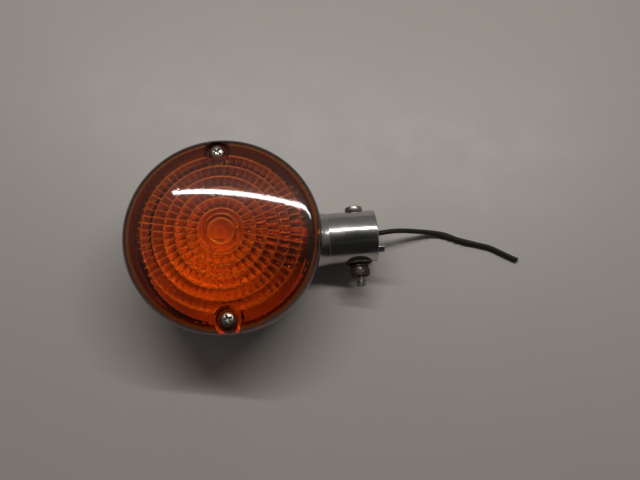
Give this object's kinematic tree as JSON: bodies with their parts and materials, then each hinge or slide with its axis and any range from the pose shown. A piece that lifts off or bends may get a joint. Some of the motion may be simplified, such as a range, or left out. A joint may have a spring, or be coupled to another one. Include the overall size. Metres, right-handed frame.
{
  "type": "motorcycle turn signal indicator",
  "caption": "Round amber indicator lamp with a plated bowl, a clamp stub for its stay, a bayonet bulb inside and a short cut wire.",
  "frame": {"origin": "centre of the flat pad on the back of the bowl, on the lens axis", "axes": "+Z along the lens axis, out of the lens; +X along the stub, out of its open end; +Y to the clamp bolt's head"},
  "size_m": [0.1836, 0.085, 0.0525],
  "materials": {
    "plated_body": "bright plated metal, slightly pitted",
    "reflector": "bright plated pressing",
    "amber_lens": "clear amber moulded plastic with a relief inside",
    "rubber": "matt black rubber",
    "screw_steel": "zinc plated, dulled",
    "fibre": "brown fibre",
    "bracket_steel": "yellowed zinc plating",
    "socket_brass": "dulled brass",
    "spring_steel": "bright spring wire",
    "wire_cover": "dull black vinyl",
    "rusty_steel": "rusted steel",
    "bolt_steel": "worn plated steel",
    "black_glass": "black cap glass",
    "solder": "soft solder",
    "clear_glass": "clear glass",
    "lead_wire": "nickel wire",
    "tungsten": "grey filament"
  },
  "bodies": {
    "housing": {"housing": "plated_body", "reflector": "reflector", "lens_gasket": "rubber", "socket_bracket": "bracket_steel", "bracket_screw_left": "screw_steel", "bracket_screw_right": "screw_steel", "socket_shell": "socket_brass", "contact_spring": "spring_steel", "feed_wire": "wire_cover", "bore_grommet": "rubber", "clamp_flat_washer": "rusty_steel", "clamp_spring_washer": "rusty_steel", "wire_tail": "wire_cover"},
    "lens": {"lens": "amber_lens", "lens_screw_washer_top": "fibre", "lens_screw_washer_bottom": "fibre"},
    "lens_screw_top": {"lens_screw_top": "screw_steel"},
    "lens_screw_bottom": {"lens_screw_bottom": "screw_steel"},
    "contact": {"contact_disc": "fibre", "contact_button": "socket_brass"},
    "bulb": {"bulb_cap": "socket_brass", "bulb_cap_insulator": "black_glass", "bulb_contact": "solder", "bulb_glass": "clear_glass", "bulb_mount": "clear_glass", "filament_lead_left": "lead_wire", "filament_lead_right": "lead_wire", "bulb_filament": "tungsten"},
    "clamp_bolt": {"clamp_bolt": "bolt_steel"},
    "clamp_nut": {"clamp_nut": "rusty_steel"}
  },
  "joints": [
    {"name": "lens_lift", "type": "slide", "parent": "housing", "child": "lens", "axis": [0, 0, 1], "range_m": [0, 0.03]},
    {"name": "lens_screw_top_turn", "type": "hinge", "parent": "lens", "child": "lens_screw_top", "pos_m": [0, 0.036, 0.0441], "axis": [0, 0, 1], "continuous": true},
    {"name": "lens_screw_bottom_turn", "type": "hinge", "parent": "lens", "child": "lens_screw_bottom", "pos_m": [0, -0.036, 0.0441], "axis": [0, 0, 1], "continuous": true},
    {"name": "contact_push", "type": "slide", "parent": "housing", "child": "contact", "axis": [1, 0, 0], "range_m": [0, 0.0016], "stiffness_N_per_m": 1200, "springref_m": -0.002, "deforming": ["contact_spring", "feed_wire"]},
    {"name": "bulb_twist", "type": "hinge", "parent": "contact", "child": "bulb", "pos_m": [0.023, 0, 0.021], "axis": [-1, 0, 0], "range_deg": [0, 20]},
    {"name": "clamp_bolt_turn", "type": "hinge", "parent": "housing", "child": "clamp_bolt", "pos_m": [0.06, 0.012, 0.0145], "axis": [0, 1, 0], "continuous": true},
    {"name": "clamp_nut_turn", "type": "hinge", "parent": "clamp_bolt", "child": "clamp_nut", "pos_m": [0.06, -0.0169, 0.0145], "axis": [0, 1, 0], "continuous": true}
  ]
}
